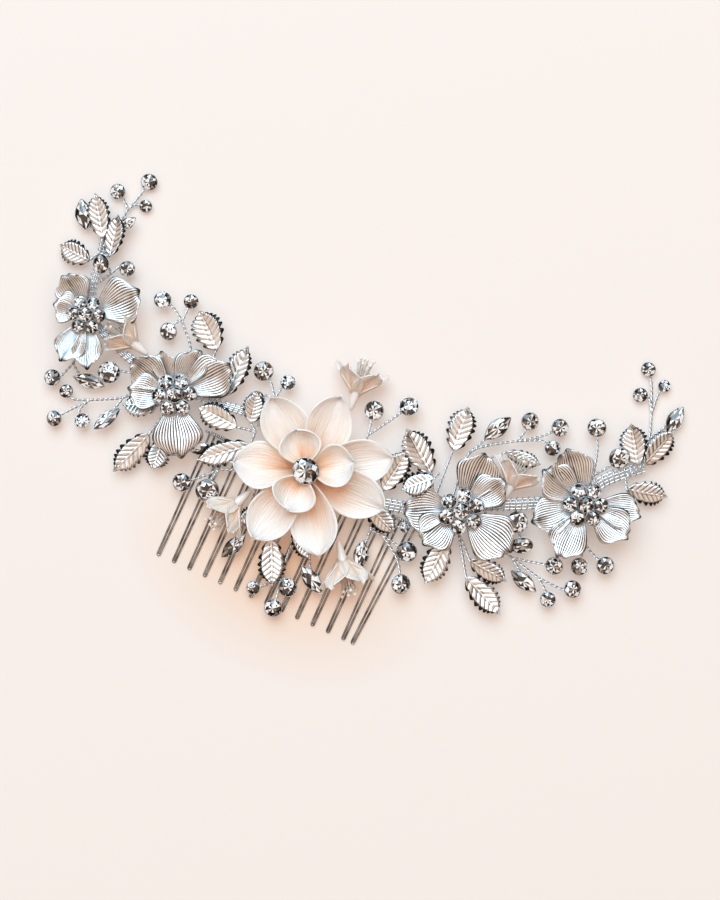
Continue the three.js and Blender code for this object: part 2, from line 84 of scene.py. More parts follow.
class Value:
    """One number socket of a material, so that sums on it can be written as sums."""

    def __init__(self, finish, socket):
        self.finish = finish
        self.socket = socket

    def sum(self, operation, other, swapped=False):
        pair = (other, self) if swapped else (self, other)
        return self.finish.make("ShaderNodeMath", {"operation": operation}, {0: pair[0], 1: pair[1]})

    def __add__(self, other):
        return self.sum("ADD", other)

    def __mul__(self, other):
        return self.sum("MULTIPLY", other)

    def __sub__(self, other):
        return self.sum("SUBTRACT", other)

    def __rsub__(self, other):
        return self.sum("SUBTRACT", other, True)

    __radd__ = __add__
    __rmul__ = __mul__


class Finish:
    """A node material. make() adds any node and gives back one of its sockets."""

    def __init__(self, name, tree=None):
        if tree is None:
            self.material = bpy.data.materials.new(name)
            self.material.use_nodes = True
            tree = self.material.node_tree
        self.tree = tree
        self.surface = tree.nodes.get("Principled BSDF")

    def make(self, kind, settings=None, inputs=None, output=0):
        node = self.tree.nodes.new(kind)
        for key, value in (settings or {}).items():
            if key == "stops":
                self.ramp(node.color_ramp, value)
            else:
                setattr(node, key, value)
        for key, value in (inputs or {}).items():
            self.feed(node.inputs[key], value)
        return Value(self, node.outputs[output])

    def ramp(self, ramp, stops):
        while len(ramp.elements) < len(stops):
            ramp.elements.new(0.5)
        for element, (place, colour) in zip(ramp.elements, stops):
            element.position = place
            element.color = (*colour, 1)

    def feed(self, socket, value):
        if isinstance(value, Value):
            self.tree.links.new(value.socket, socket)
        else:
            socket.default_value = value

    def set(self, **inputs):
        for name, value in inputs.items():
            self.feed(self.surface.inputs[name.replace("_", " ")], value)
        return self.material


paper = Finish("blush_paper")
grain = paper.make("ShaderNodeTexNoise", {}, {"Vector": paper.make("ShaderNodeTexCoord", output=3),
                                              "Scale": 900.0, "Detail": 3.0})
bump = paper.make("ShaderNodeBump", {}, {"Strength": 0.03, "Distance": 0.0001, "Height": grain})
# painted shadow: a soft oval under the comb turns the paper's colour and glow a deeper peach
middle = spot(*SHADOW_PAINT_CENTRE, 0)
wide, deep = (reach * MM for reach in SHADOW_PAINT_REACH)
near = paper.make("ShaderNodeMapping", {}, {"Vector": paper.make("ShaderNodeTexCoord", output=3),
                                            "Location": (-middle.x / wide, -middle.y / deep, 0.0),
                                            "Scale": (1 / wide, 1 / deep, 0.0)})
painted_shadow = paper.make("ShaderNodeTexGradient", {"gradient_type": "SPHERICAL"}, {"Vector": near}, output=1)
tone = paper.make("ShaderNodeValToRGB", {"stops": [
    (0.0, (0.676, 0.604, 0.559)), (0.35, (0.665, 0.555, 0.480)), (1.0, (0.65, 0.40, 0.26))]},
    {"Fac": painted_shadow})
paper.set(Base_Color=tone, Roughness=0.9, Normal=bump, Emission_Color=tone)
paper.surface.inputs["Emission Strength"].default_value = PAPER_GLOW
floor_mesh = bmesh.new()
bmesh.ops.create_grid(floor_mesh, x_segments=1, y_segments=1, size=1.5)
floor_data = bpy.data.meshes.new("paper_sheet")
floor_mesh.to_mesh(floor_data)
floor_data.materials.append(paper.material)
floor = bpy.data.objects.new("paper_sheet", floor_data)
bpy.context.scene.collection.objects.link(floor)
floor.location.z = cad_box[0].z - 0.00002

world = bpy.data.worlds.new("warm_room")
bpy.context.scene.world = world
world.use_nodes = True
room = Finish("warm_room", world.node_tree)
outwards = room.make("ShaderNodeTexCoord", output=0)
height = room.make("ShaderNodeSeparateXYZ", {}, {"Vector": outwards}, output=2)
patches = room.make("ShaderNodeTexNoise", {}, {"Vector": outwards, "Scale": 2.2, "Detail": 1.0})
glow = room.make("ShaderNodeValToRGB", {"stops": [
    (0.0, (1.0, 0.76, 0.60)), (0.08, (0.45, 0.33, 0.25)), (0.16, (0.02, 0.016, 0.014)),
    (0.50, (0.04, 0.03, 0.025)), (0.68, (0.88, 0.62, 0.46)), (1.0, (1.0, 0.76, 0.60))]},
    {"Fac": height + (patches - 0.5) * 0.5})
backdrop = world.node_tree.nodes["Background"]
room.feed(backdrop.inputs["Color"], glow)
backdrop.inputs["Strength"].default_value = 1.0


def lamp(name, place, size, power, colour):
    data = bpy.data.lights.new(name, "AREA")
    data.shape = "DISK"
    data.size = size
    data.energy = power
    data.color = colour
    lamp_object = bpy.data.objects.new(name, data)
    bpy.context.scene.collection.objects.link(lamp_object)
    lamp_object.location = spot(*place)
    aim = spot(0, 0, 0) - lamp_object.location
    lamp_object.rotation_euler = aim.to_track_quat("-Z", "Y").to_euler()


lamp("soft_lamp", (-852, 1240, 1997), 2.6, 70.1, (0.50, 0.793, 1.0))

turn = math.radians(VIEW_TURN)
camera_data = bpy.data.cameras.new("camera")
camera_data.lens = LENS
camera_data.sensor_width = SENSOR
camera_data.clip_start = 0.01
camera = bpy.data.objects.new("camera", camera_data)
bpy.context.scene.collection.objects.link(camera)
camera.location = spot(*VIEW_CENTRE, 4.0 + VIEW_HEIGHT * LENS / SENSOR)
camera.rotation_euler = (0, 0, turn)
bpy.context.scene.camera = camera
bpy.context.scene.view_settings.view_transform = "Standard"


# ---------------------------------------------------------------- the wire comb
# One bright plated wire bent into fourteen hairpin tines, with the bends between them as the spine.
# The tines lie flat and rise a little to the spine.
TINES = 14
TINE_PITCH = 5.1
TINE_LENGTH = 40.0
TINE_BEND = -13.0
HALF_TIP = 0.38
HALF_TOP = 0.85
LAST_TINE_LEAN = -2.0
COMB_WIRE = 0.32
SPINE_HEIGHT = 1.82
SPINE_OVERHANG = 1.6
SHOULDER_RADIUS = 0.5
# how far down each leg, and how much of the spine's height it still has there
LEG_RISE = ((-3, 0.93), (-6, 0.68), (-9.5, 0.28), (TINE_BEND, 0), (-20, 0), (-30, 0))

bright = Finish("bright_wire")
place = bright.make("ShaderNodeTexCoord", output=3)
wear = bright.make("ShaderNodeTexNoise", {}, {"Vector": place, "Scale": 700.0, "Detail": 3.0})
bump = bright.make("ShaderNodeBump", {}, {"Strength": 0.08, "Distance": 0.00002, "Height": wear})
bright.set(Base_Color=(0.74, 0.77, 0.80, 1), Metallic=1.0, Roughness=wear * 0.14 + 0.06, Normal=bump)

rhodium = Finish("comb_plating")
place = rhodium.make("ShaderNodeTexCoord", output=3)
wear = rhodium.make("ShaderNodeTexNoise", {}, {"Vector": place, "Scale": 300.0, "Detail": 2.0})
tone = rhodium.make("ShaderNodeValToRGB", {"stops": [
    (0.35, (0.13, 0.13, 0.13)), (0.65, (0.46, 0.47, 0.48))]}, {"Fac": wear})
rhodium.set(Base_Color=tone, Metallic=1.0, Roughness=wear * 0.1 + 0.04)


def smooth_path(points, step=0.45):
    """A soft curve through the points, as closely spaced points."""
    knots = [Vector(p) for p in points]
    knots = [knots[0] * 2 - knots[1], *knots, knots[-1] * 2 - knots[-2]]
    path = []
    for a, b, c, d in zip(knots, knots[1:], knots[2:], knots[3:]):
        count = max(2, round((c - b).length / step))
        for i in range(count):
            t = i / count
            path.append(0.5 * (2 * b + t * (c - a) + t * t * (2 * a - 5 * b + 4 * c - d)
                               + t * t * t * (3 * b - a - 3 * c + d)))
    path.append(knots[-2])
    return path


def wire_piece(name, runs, material, nodes=(), sides=2):
    """Round wires as one piece: each run is its radius and its points in millimetres."""
    data = bpy.data.curves.new(name, "CURVE")
    data.dimensions = "3D"
    data.bevel_depth = MM
    data.bevel_resolution = sides
    data.use_fill_caps = True
    for radius, points in runs:
        spline = data.splines.new("POLY")
        spline.points.add(len(points) - 1)
        for knot, point in zip(spline.points, points):
            knot.co = (*(TO_ROW @ Vector(point)), 1)
            knot.radius = radius
    data.materials.append(material)
    curve = bpy.data.objects.new(name, data)
    bpy.context.scene.collection.objects.link(curve)
    made = bpy.data.meshes.new_from_object(curve.evaluated_get(bpy.context.evaluated_depsgraph_get()))
    bpy.data.objects.remove(curve)
    made.name = name
    piece = bpy.data.objects.new(name, made)
    bpy.context.scene.collection.objects.link(piece)
    made.shade_smooth()
    made.attributes.new("relief", "FLOAT", "POINT").data.foreach_set("value", [0.8] * len(made.vertices))
    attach(piece, "root")
    if nodes:
        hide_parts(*nodes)
    return piece


def arc(centre, radius, start, end, steps, z):
    turns = [math.radians(start + (end - start) * i / steps) for i in range(steps + 1)]
    return [(centre[0] + radius * math.cos(a), centre[1] + radius * math.sin(a), z) for a in turns]


first = -(TINES - 1) * TINE_PITCH / 2
corner = SHOULDER_RADIUS
spine_end = HALF_TOP + SPINE_OVERHANG
comb_path = [(first - spine_end, 0, SPINE_HEIGHT)]
for i in range(TINES):
    x = first + i * TINE_PITCH
    end = x + LAST_TINE_LEAN if i == TINES - 1 else x
    for side, start, finish in ((-1, 90, 0), (1, 180, 90)):
        shoulder = arc((x + side * (HALF_TOP + corner), -corner), corner, start, finish, 4, SPINE_HEIGHT)
        leg = []
        for y, rise in LEG_RISE:
            down = -y / TINE_LENGTH
            half = HALF_TOP + (HALF_TIP - HALF_TOP) * down
            level = COMB_WIRE + (SPINE_HEIGHT - COMB_WIRE) * rise
            leg.append((x + (end - x) * down + side * half, y, level))
        if side < 0:
            comb_path += shoulder + leg
            comb_path += arc((end, HALF_TIP - TINE_LENGTH), HALF_TIP, 180, 360, 10, COMB_WIRE)
        else:
            comb_path += leg[::-1] + shoulder
comb_path += [(spine_end - first, 0, SPINE_HEIGHT)]
wire_piece("wire_comb", [(COMB_WIRE, comb_path)], rhodium.material, ["comb_wire"], 4)


# ---------------------------------------------------------------- the lashing on the spine
# Fine silvery wire wound closely round the spine at both ends, and more openly round spine and vine in
# the middle, where it holds the whole spray on the comb.
LASHING_WIRE = 0.17


def coil(path, radius, pitch, across=1.0):
    """A helix of that radius round a path, flattened across by a factor."""
    turns = []
    travelled = 0.0
    for a, b in zip(path, path[1:]):
        along = (b - a).normalized()
        side = along.cross(Vector((0, 0, 1))).normalized()
        up = side.cross(along)
        length = (b - a).length
        count = max(1, round(10 * length / pitch))
        for i in range(count):
            angle = 2 * math.pi * (travelled + length * i / count) / pitch
            centre = a + (b - a) * (i / count)
            sideways = side * (radius * across * math.cos(angle))
            turns.append(centre + sideways + up * (radius * math.sin(angle)))
        travelled += length
    return turns


spine_left = smooth_path([(-34, 0, SPINE_HEIGHT), (-12, 0, SPINE_HEIGHT)])
spine_right = smooth_path([(12, 0, SPINE_HEIGHT), (34, 0, SPINE_HEIGHT)])
spine_middle = smooth_path([(-13, 0, SPINE_HEIGHT + 1), (13, 0, SPINE_HEIGHT + 1)])
lashing = [(LASHING_WIRE, coil(spine_left, 0.6, 0.62)), (LASHING_WIRE, coil(spine_right, 0.6, 0.62)),
           (LASHING_WIRE, coil(spine_middle, 2.2, 0.9, 0.75))]
wire_piece("spine_lashing", lashing, bright.material, ["spine_binding_wire"], 1)


# ---------------------------------------------------------------- the vine
# The stem wires of all the sprigs, gathered in two bundles that leave the comb's ends and curve up as
# wings. Each bundle is a few straight wires side by side, lashed round with fine wire.
LEFT_VINE = [(-1, 0, 3.5), (-7, 0.2, 3.5), (-15, 6, 3.9), (-25, 10, 4), (-40, 8.5, 4.2), (-55, 8.5, 4.2),
             (-69, 11.5, 4), (-79.5, 16.5, 3.6), (-84, 24, 3.2), (-85.5, 33, 2.8), (-87.5, 42, 2.2)]
RIGHT_VINE = [(1, 0, 3.5), (7, 0.2, 3.5), (15, 0.8, 3.9), (25, 3, 4), (36, 6, 4.2), (44.5, 9.5, 4.2),
              (49.5, 14, 4.2), (60, 19.5, 4.1), (70.5, 25, 3.9), (76, 29.5, 3.5), (80, 36.5, 3),
              (89, 45, 2.2)]


def bundle(path, count, spread, radius):
    """Wires laid side by side along a path."""
    runs = []
    for k in range(count):
        shift = spread * (k - (count - 1) / 2)
        lift = 0.35 * radius * (k % 2)
        line = []
        for i, point in enumerate(path):
            along = (path[min(i + 1, len(path) - 1)] - path[max(i - 1, 0)]).normalized()
            side = along.cross(Vector((0, 0, 1))).normalized()
            line.append(point + side * shift + Vector((0, 0, lift)))
        runs.append((radius, line))
    return runs


for side, route, count, spread, wide, pitch in (("left", LEFT_VINE, 4, 0.6, 1.5, 1.6),
                                                ("right", RIGHT_VINE, 4, 0.95, 2.0, 1.75)):
    path = smooth_path(route, 0.6)
    runs = bundle(path, count, spread, 0.26)
    runs.append((0.19, coil(path, 0.85, pitch, wide / 0.85)))
    wire_piece(side + "_vine", runs, bright.material, [side + "_vine_stem"], 1)


# ---------------------------------------------------------------- the clay flower
# Thin petals of ivory clay, hand-pinched: narrow at the base, finely grooved along, rim curled up and
# drawn out to a small point. Seven lie open round three that stand up round the crystal.
FLOWER = Vector((-3.0, 1.6, 0))
CLAY_THICKNESS = 0.55

clay = Finish("pearly_clay")
place = clay.make("ShaderNodeTexCoord", output=2)
relief = clay.make("ShaderNodeAttribute", {"attribute_name": "relief"}, output=2)
streaks = clay.make("ShaderNodeMapping", {}, {"Vector": place, "Scale": (1.4, 15.0, 1.0)})
grooves = clay.make("ShaderNodeTexNoise", {}, {"Vector": streaks, "Scale": 1.5, "Detail": 3.0})
grain = clay.make("ShaderNodeTexNoise", {}, {"Vector": clay.make("ShaderNodeTexCoord", output=3),
                                             "Scale": 1500.0, "Detail": 2.0})
# painted shading: deep peach as painted shade in hollows and petal bases, white on rims as painted
# highlight
tone = clay.make("ShaderNodeValToRGB", {"stops": [
    (0.0, (0.74, 0.36, 0.18)), (0.25, (0.90, 0.55, 0.35)), (0.60, (0.95, 0.80, 0.69)),
    (1.0, (0.98, 0.91, 0.865))]},
    {"Fac": relief + (grooves - 0.5) * 0.50})
bump = clay.make("ShaderNodeBump", {}, {"Strength": 1.0, "Distance": 0.00042,
                                        "Height": grooves + grain * 0.16})
clay.surface.inputs["Subsurface Weight"].default_value = 0.30
clay.surface.inputs["Subsurface Scale"].default_value = 0.0004
clay.surface.inputs["Subsurface Radius"].default_value = (1.0, 0.7, 0.5)
clay.set(Base_Color=tone, Roughness=0.34, Normal=bump)


def plate(bm, along, across, form, matrix, thickness):
    """A thin warped plate. form(u, v) gives a place in millimetres and its painted shading, 0 dark to 1
    light.
    """
    relief = bm.verts.layers.float.get("relief") or bm.verts.layers.float.new("relief")
    chart = bm.loops.layers.uv.verify()
    verts = bmesh.ops.create_grid(bm, x_segments=along, y_segments=across, size=1.0)["verts"]
    faces = list({face for vert in verts for face in vert.link_faces})
    for face in faces:
        face.smooth = True
        for loop in face.loops:
            loop[chart].uv = ((loop.vert.co.x + 1) / 2, (loop.vert.co.y + 1) / 2)
    for vert in verts:
        x, y, z, shade_value = form((vert.co.x + 1) / 2, vert.co.y)
        vert.co = matrix @ Vector((x, y, z))
        vert[relief] = shade_value
    made = bmesh.ops.extrude_face_region(bm, geom=faces)["geom"]
    verts += [part for part in made if isinstance(part, bmesh.types.BMVert)]
    faces = list({face for vert in verts for face in vert.link_faces})
    for face in faces:
        face.normal_update()
    for vert in verts:
        vert.normal_update()
    for vert in verts:
        vert.co += vert.normal * (thickness / 2)
    bmesh.ops.recalc_face_normals(bm, faces=faces)


def seat(base, heading, pitch=0.0, roll=0.0):
    """Stands a form at its base point: turned to its heading, its tip raised, rolled about its length."""
    turned = Matrix.Rotation(math.radians(heading), 4, "Z")
    raised = Matrix.Rotation(-math.radians(pitch), 4, "Y")
    return Matrix.Translation(base) @ turned @ raised @ Matrix.Rotation(math.radians(roll), 4, "X")


def mesh_piece(name, bm, materials, nodes=(), levels=0):
    """A finished mesh piece of the comb from a form in millimetres."""
    bm.transform(TO_ROW)
    data = bpy.data.meshes.new(name)
    bm.to_mesh(data)
    bm.free()
    for material in materials:
        data.materials.append(material)
    piece = bpy.data.objects.new(name, data)
    bpy.context.scene.collection.objects.link(piece)
    if levels:
        smooth = piece.modifiers.new("smooth", "SUBSURF")
        smooth.levels = levels
        smooth.render_levels = levels
    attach(piece, "root")
    if nodes:
        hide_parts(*nodes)
    return piece


def bell_curve(x, width):
    return math.exp(-(x / width) ** 2)


def petal_form(length, width, cup, lift, beak, sway, seed):
    """A clay petal: widest past its middle, cupped across, its wavy rim lifted and drawn to a point."""
    wave = random.Random(seed)
    phases = [wave.uniform(0, 6.28) for _ in range(4)]
    lean = wave.uniform(-0.10, 0.10)

    def form(u, v):
        half = 0.5 * width * max(0.0, math.sin(math.pi * (0.05 + 0.95 * u) ** 1.35)) ** 0.62
        if u < 0.5:
            half = max(half, 0.9)
        half *= 1 + 0.03 * math.sin(7 * u + phases[0])
        reach = length * (u + beak * bell_curve(v, 0.22) * max(0.0, u - 0.86) / 0.14)
        edge = abs(v) ** 3
        rim = max(abs(v), (u - 0.2) / 0.8) ** 6
        z = cup * (0.55 * v * v + 0.45 * edge) * math.sin(math.pi * min(1.0, 0.12 + 0.8 * u))
        z += lift * (u - 0.55) ** 2 * (1 if u > 0.55 else 0.6) * 4
        z -= 0.28 * bell_curve(v, 0.18) * (1 - u) * math.sin(math.pi * u)
        z += 0.35 * math.sin(4.5 * v + phases[1]) * u * u
        z += 0.4 * rim * math.sin(8 * u + 5 * v + phases[2])
        z += lean * width * v * u
        # painted shade at the base and down the middle, painted highlight on the rim, a little random tone
        shade_value = 0.10 + 0.72 * min(1.0, 1.35 * u) + 0.35 * rim - 0.25 * bell_curve(v, 0.16) * (1 - u)
        shade_value += 0.10 * math.sin(3 * v + phases[3])
        return (reach, half * v + sway * u * u, z, shade_value)
    return form


# heading, reach from the middle, width, level of the base, roll, sideways sway of the tip
OUTER_PETALS = [(86, 25.3, 14.0, 8.2, 8, 1.5), (36, 27.0, 14.2, 7.9, 8, -1.0),
                (-1, 26.6, 14.6, 8.1, 8, 0.5), (-56, 26.2, 14.6, 7.9, 8, 0),
                (-103, 26.2, 14.2, 8.2, 8, 0), (-162, 22.6, 14.4, 7.9, 8, 0),
                (139, 25.0, 14.0, 7.6, 8, 0.8)]
for i, (heading, reach, width, level, roll, sway) in enumerate(OUTER_PETALS):
    bm = bmesh.new()
    out = math.radians(heading)
    base = FLOWER + Vector((3.2 * math.cos(out), 3.2 * math.sin(out), level))
    form = petal_form(reach - 3.9, width, 2.3, 1.6, 0.055, sway, i)
    plate(bm, 34, 24, form, seat(base, heading, 2, roll), CLAY_THICKNESS)
    mesh_piece(f"clay_outer_petal_{i + 1}", bm, [clay.material],
               [f"outer_petal_{i + 1}"], 1)
# heading, reach from the middle, width
INNER_PETALS = [(127, 13.6, 13.0), (35, 15.6, 13.2), (-92, 13.6, 14.0)]
for i, (heading, reach, width) in enumerate(INNER_PETALS):
    bm = bmesh.new()
    out = math.radians(heading)
    base = FLOWER + Vector((2.2 * math.cos(out), 2.2 * math.sin(out), 10.2))
    form = petal_form(reach - 2.6, width, 3.4, 1.8, 0.06, 0, i + 20)
    plate(bm, 30, 24, form, seat(base, heading, 10, 0), CLAY_THICKNESS)
    mesh_piece(f"clay_inner_petal_{i + 1}", bm, [clay.material],
               [f"inner_petal_{i + 1}"], 1)

bm = bmesh.new()
profile = [bm.verts.new((r, 0, z)) for r, z in ((0, 5.7), (1.6, 5.7), (3.0, 6.3), (3.4, 7.0), (0, 7.2))]
edges = [bm.edges.new(pair) for pair in zip(profile, profile[1:])]
bmesh.ops.spin(bm, geom=profile + edges, axis=(0, 0, 1), cent=(0, 0, 0), steps=28, angle=2 * math.pi,
               use_merge=True)
bmesh.ops.remove_doubles(bm, verts=bm.verts, dist=0.001)
bmesh.ops.recalc_face_normals(bm, faces=bm.faces)
for face in bm.faces:
    face.smooth = True
bmesh.ops.translate(bm, verts=bm.verts, vec=FLOWER)
mesh_piece("clay_calyx", bm, [clay.material], ["flower_calyx"], 1)


# ---------------------------------------------------------------- crystals and their cups
# Cut glass with a mirror foil behind it: each small facet sends back either the lamp or the dark of the
# room, so bright and black ones lie side by side. Here a facet is opaque under a clear coat, and what it
# would reflect is painted into its colour as a bright, tan or black tone, a little lighter on one side of
# the stone; the stones also give off a little painted light. A thin silver cup holds the stone by claws.
STONE_FIT = 0.93
STONE_GLOW = 0.30

stone_glass = Finish("cut_crystal")
place = stone_glass.make("ShaderNodeTexCoord", output=3)
cloud = stone_glass.make("ShaderNodeTexNoise", {}, {"Vector": place, "Scale": 400.0, "Detail": 1.0})
gleam = stone_glass.make("ShaderNodeAttribute", {"attribute_name": "gleam"}, output=2)
# painted reflection: facet tone from black through tan to white, also given off as a little light
tint = stone_glass.make("ShaderNodeValToRGB", {"stops": [
    (0.0, (0.006, 0.005, 0.005)), (0.34, (0.014, 0.012, 0.010)), (0.38, (0.22, 0.15, 0.11)),
    (0.44, (0.36, 0.31, 0.28)), (0.49, (0.80, 0.775, 0.76)), (1.0, (0.92, 0.91, 0.90))]},
    {"Fac": gleam + (cloud - 0.5) * 0.05})
stone_glass.surface.inputs["IOR"].default_value = 1.6
stone_glass.surface.inputs["Coat Weight"].default_value = 1.0
stone_glass.surface.inputs["Coat Roughness"].default_value = 0.01
stone_glass.surface.inputs["Emission Strength"].default_value = STONE_GLOW
stone_glass.set(Base_Color=tint, Metallic=gleam * 0.2, Roughness=cloud * 0.06 + 0.02, Emission_Color=tint)

cup_silver = Finish("cup_silver")
place = cup_silver.make("ShaderNodeTexCoord", output=3)
wear = cup_silver.make("ShaderNodeTexNoise", {}, {"Vector": place, "Scale": 1600.0, "Detail": 3.0})
bump = cup_silver.make("ShaderNodeBump", {}, {"Strength": 0.2, "Distance": 0.00004, "Height": wear})
cup_silver.set(Base_Color=(0.58, 0.60, 0.62, 1), Metallic=1.0, Roughness=wear * 0.2 + 0.1, Normal=bump)


def ring_of(bm, count, radius, z, offset=0.0):
    turns = [2 * math.pi * (i + offset) / count for i in range(count)]
    return [bm.verts.new((radius * math.cos(a), radius * math.sin(a), z)) for a in turns]


def cut_stone(bm, diameter, matrix, boat=None, pinch=0.55):
    """A brilliant: the hull of its table, kite, rim and back points. A boat is drawn in at its ends."""
    r = STONE_FIT * diameter / 2
    mains = 6 if diameter < 6.5 else 8
    layer = bm.faces.layers.float.get("gleam") or bm.faces.layers.float.new("gleam")
    points = ring_of(bm, 1, 0.0, 0.325 * r)
    points += ring_of(bm, 2 * mains, 0.50 * r, 0.30 * r)
    points += ring_of(bm, mains, 0.78 * r, 0.20 * r, 0.5)
    points += ring_of(bm, 2 * mains, r, 0.02 * r)
    points += ring_of(bm, 2 * mains, r, -0.04 * r)
    points += ring_of(bm, mains, 0.50 * r, -0.46 * r, 0.5)
    points += ring_of(bm, 1, 0.0, -0.74 * r)
    made = bmesh.ops.convex_hull(bm, input=points)
    faces = [g for g in made["geom"] if isinstance(g, bmesh.types.BMFace)]
    loose = [v for v in points if not v.link_faces]
    bmesh.ops.delete(bm, geom=loose, context="VERTS")
    kept = {v for face in faces for v in face.verts}
    gleam = random.Random(round(1000 * diameter + 10 * matrix.translation.x + matrix.translation.y))
    shade = gleam.uniform(0, 6.28)
    for face in faces:
        middle = face.calc_center_median()
        face.smooth = False
        angle = math.atan2(middle.y, middle.x)
        star = math.sin(mains * angle) if middle.length < 0.5 * r else math.cos(mains * angle)
        # painted reflection: each facet's tone stands for the lamp or the dark room it would reflect
        face[layer] = 0.34 + 0.60 * (gleam.random() - 0.5) + 0.20 * star + 0.12 * math.cos(angle - shade)
    for vert in kept:
        if boat:
            vert.co.x *= boat
            vert.co.y *= 1 - pinch * (abs(vert.co.x) / (boat * r)) ** 2
        vert.co = matrix @ vert.co
    bmesh.ops.recalc_face_normals(bm, faces=faces)


def claw_cup(bm, diameter, matrix, boat=None, pinch=0.55, claws=6):
    """The stone's cup: a thin cone of sheet with a plain rim, and claws that lean in over the stone."""
    r = STONE_FIT * diameter / 2
    profile = [bm.verts.new((x * r, 0, z * r)) for x, z in
               ((0.35, -0.98), (0.62, -0.80), (1.0, -0.14), (1.05, -0.05), (1.08, -0.09), (1.06, -0.18),
                (0.66, -0.92), (0.35, -1.1))]
    edges = [bm.edges.new(pair) for pair in zip(profile, profile[1:] + profile[:1])]
    bmesh.ops.spin(bm, geom=profile + edges, axis=(0, 0, 1), cent=(0, 0, 0), steps=24,
                   angle=2 * math.pi, use_merge=True)
    verts = set(profile)
    grow = list(profile)
    while grow:
        vert = grow.pop()
        for edge in vert.link_edges:
            other = edge.other_vert(vert)
            if other not in verts:
                verts.add(other)
                grow.append(other)
    for k in range(claws):
        angle = 2 * math.pi * (k + 0.25) / claws
        claw = bmesh.ops.create_icosphere(bm, subdivisions=1, radius=1.0)["verts"]
        lean = Matrix.Rotation(angle, 4, "Z") @ Matrix.Translation((0.96 * r, 0, 0.03 * r))
        lean = lean @ Matrix.Rotation(math.radians(-28), 4, "Y")
        lean = lean @ Matrix.Diagonal((0.13 * r, 0.09 * r, 0.20 * r, 1))
        for vert in claw:
            vert.co = lean @ vert.co
        verts.update(claw)
    for vert in verts:
        if boat:
            vert.co.x *= boat
            vert.co.y *= 1 - pinch * min(1.0, abs(vert.co.x) / (boat * r)) ** 2
        vert.co = matrix @ vert.co
        # the foot of a low cup stands on the table
        vert.co.z = max(vert.co.z, 0.0)
    faces = {face for vert in verts for face in vert.link_faces}
    for face in faces:
        face.smooth = True
    bmesh.ops.recalc_face_normals(bm, faces=list(faces))


def gem_pieces(name, stones, nodes, claws=6):
    """All stones of a sprig as one piece and their cups as another."""
    gems = bmesh.new()
    cups = bmesh.new()
    for diameter, matrix, boat in stones:
        pinch = 0.55 if boat and boat > 1.5 else 0.1
        cut_stone(gems, diameter, matrix, boat, pinch)
        claw_cup(cups, diameter, matrix, boat, pinch, 2 if boat else claws)
    mesh_piece(name + "_stones", gems, [stone_glass.material], nodes)
    mesh_piece(name + "_cups", cups, [cup_silver.material])


centre = Matrix.Translation(FLOWER + Vector((0, 0, 13.6))) @ Matrix.Rotation(math.radians(3), 4, "X")
gem_pieces("flower_centre", [(8.2, centre, None)], ["flower_crystal", "flower_crystal_cup"], 8)


# ---------------------------------------------------------------- stamped silver flowers
# Five or six broad petals stamped from thin silver sheet round a hub: fine ribs fan out from the base, a
# crease runs down the middle and the rim is rolled and ruffled. Seven crystals are fixed on the hub.
FLOWER_LEVEL = 7.0
PETAL_RIBS = 8.5
RIB_WIDTH = 0.25
PETAL_SHEET = 0.35
CLUSTER_LIFT = 3.6

stamped = Finish("stamped_silver")
place = stamped.make("ShaderNodeTexCoord", output=3)
relief = stamped.make("ShaderNodeAttribute", {"attribute_name": "relief"}, output=2)
patina = stamped.make("ShaderNodeTexNoise", {}, {"Vector": place, "Scale": 330.0, "Detail": 4.0})
grain = stamped.make("ShaderNodeTexNoise", {}, {"Vector": place, "Scale": 2500.0, "Detail": 2.0})
# painted shading: near black in grooves, creases and rolled rims as painted shade and dark reflection
tone = stamped.make("ShaderNodeValToRGB", {"stops": [
    (0.0, (0.02, 0.018, 0.016)), (0.26, (0.13, 0.115, 0.105)), (0.48, (0.50, 0.505, 0.505)),
    (0.74, (0.81, 0.82, 0.83))]},
    {"Fac": relief + (patina - 0.5) * 0.75})
bump = stamped.make("ShaderNodeBump", {}, {"Strength": 0.25, "Distance": 0.00003, "Height": grain})
stamped.set(Base_Color=tone, Metallic=0.95, Roughness=patina * 0.22 + 0.17, Normal=bump)


def groove(count, v, width):
    """How deep in the nearest of evenly spaced narrow grooves: 1 in its middle, 0 away from it."""
    away = abs((count * v) % 1.0 - 0.5)
    return math.exp(-(away / width) ** 2)


def silver_petal(length, width, cup, curl, seed):
    """A ribbed petal: cupped across, creased down the middle, its tip curled and its rim ruffled."""
    wave = random.Random(seed)
    phases = [wave.uniform(0, 6.28) for _ in range(3)]
    lean = wave.uniform(-0.12, 0.12)

    def form(u, v):
        half = 0.5 * width * max(0.14, math.sin(math.pi * (0.07 + 0.86 * u) ** 1.9)) ** 0.7
        ruffle = math.sin(5 * v + phases[0]) * 0.6 + math.sin(9 * v + phases[1]) * 0.4
        reach = length * (u + 0.035 * ruffle * u * u - 0.17 * v * v * u ** 3 + 0.03 * u ** 4)
        rim = max(abs(v), 0.5 * u + 0.5 * (u > 0.7) * u)
        roll = max(0.0, (rim - 0.90) / 0.10)
        rib = groove(PETAL_RIBS, v + 0.03 * math.sin(6 * u + phases[1]), RIB_WIDTH)
        line = rib * min(1.0, 3 * u) * (1 - roll)
        z = 1.2 * u * u + cup * v * v * math.sin(math.pi * min(1, u + 0.1)) + lean * v * width * 0.4
        z -= 0.35 * bell_curve(v, 0.22) * math.sin(math.pi * min(1.0, u * 1.1 + 0.05)) ** 0.5
        z += curl * max(0.0, u - 0.7) ** 2 * 8 + 0.35 * ruffle * u ** 3
        z -= 0.14 * line + 0.6 * roll * roll
        # painted shade in the rib grooves, crease, base and rolled rim, plus a little random tone
        shade_value = 0.95 - 0.80 * line - 0.25 * bell_curve(v, 0.04) - 0.5 * (1 - u) ** 5
        shade_value -= 0.10 * (1 + math.sin(2.6 * v + phases[2])) * u
        shade_value -= (0.35 + 0.5 * max(0.0, ruffle)) * roll
        return (reach, half * v + 0.3 * math.sin(3 * u + phases[0]) * u, z, shade_value)
    return form


